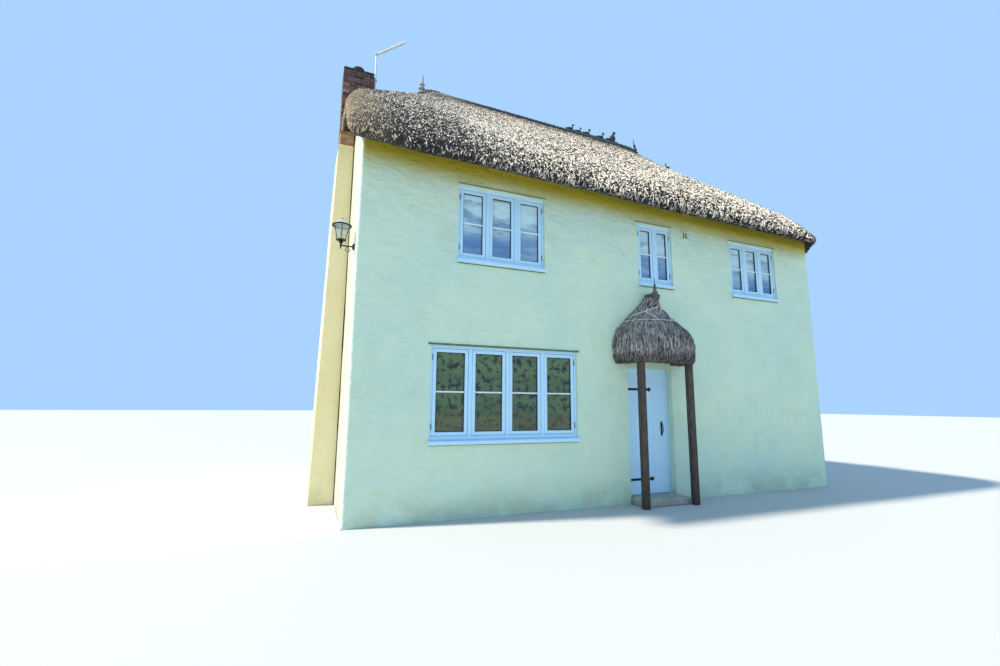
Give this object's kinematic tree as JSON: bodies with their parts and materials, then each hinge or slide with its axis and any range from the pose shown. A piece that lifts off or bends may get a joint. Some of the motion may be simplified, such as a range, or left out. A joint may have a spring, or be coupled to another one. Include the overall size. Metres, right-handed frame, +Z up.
{
  "type": "thatched cottage",
  "caption": "Two-storey rendered cottage with a half-hipped thatched roof, casement windows, a bell-shaped thatched porch and a gable chimney.",
  "frame": {"origin": "middle of the house's rectangular plan at ground level, on the underside of the ground floor", "axes": "+X along the front from the chimney end to the hipped end, +Y from the front into the house, +Z up; the porch and the front windows face -Y"},
  "size_m": [9.12, 6.57, 8.18],
  "materials": {
    "limewash": "matte limewashed render",
    "thatch": "matte reed thatch",
    "ridge_thatch": "matte weathered straw",
    "painted_joinery": "satin pale blue paint on timber",
    "window_glass": "clear glass",
    "brick": "matte sooty brick",
    "clay": "matte fired clay",
    "mortar": "matte mortar",
    "stone": "matte stone",
    "floor_boards": "waxed boards",
    "dark_timber": "dark stained timber",
    "black_iron": "satin black",
    "aluminium": "dull"
  },
  "bodies": {
    "root": {"front_wall": "limewash", "back_wall": "limewash", "left_gable_wall": "limewash", "right_end_wall": "limewash", "ground_floor": "stone", "upper_floor": "floor_boards", "thatch_roof": "thatch", "thatch_ridge": "ridge_thatch", "left_ridge_finial": "ridge_thatch", "right_ridge_finial": "ridge_thatch", "straw_ducks": "ridge_thatch", "hip_bird": "ridge_thatch", "ground_window_frame": "painted_joinery", "ground_window_glass": "window_glass", "upper_left_window_frame": "painted_joinery", "upper_left_window_glass": "window_glass", "upper_middle_window_frame": "painted_joinery", "upper_middle_window_glass": "window_glass", "upper_right_window_frame": "painted_joinery", "upper_right_window_glass": "window_glass", "back_window_1_frame": "painted_joinery", "back_window_1_glass": "window_glass", "back_window_2_frame": "painted_joinery", "back_window_2_glass": "window_glass", "back_window_3_frame": "painted_joinery", "back_window_3_glass": "window_glass", "back_window_4_frame": "painted_joinery", "back_window_4_glass": "window_glass", "front_door_frame": "painted_joinery", "front_door": "painted_joinery", "front_doorstep": "stone", "back_door_frame": "painted_joinery", "back_door": "painted_joinery", "back_doorstep": "stone", "chimney_breast": "limewash", "chimney_stack": "brick", "chimney_flaunching": "mortar", "chimney_pot": "clay", "aerial_mast": "aluminium", "aerial_bracket": "aluminium", "aerial_antenna": "aluminium", "porch_thatch": "ridge_thatch", "porch_ridge": "ridge_thatch", "porch_finial": "ridge_thatch", "porch_timbers": "dark_timber", "wall_vent": "stone", "lantern_bracket": "black_iron", "lantern_glass": "window_glass", "lantern_cap": "black_iron"}
  },
  "joints": []
}
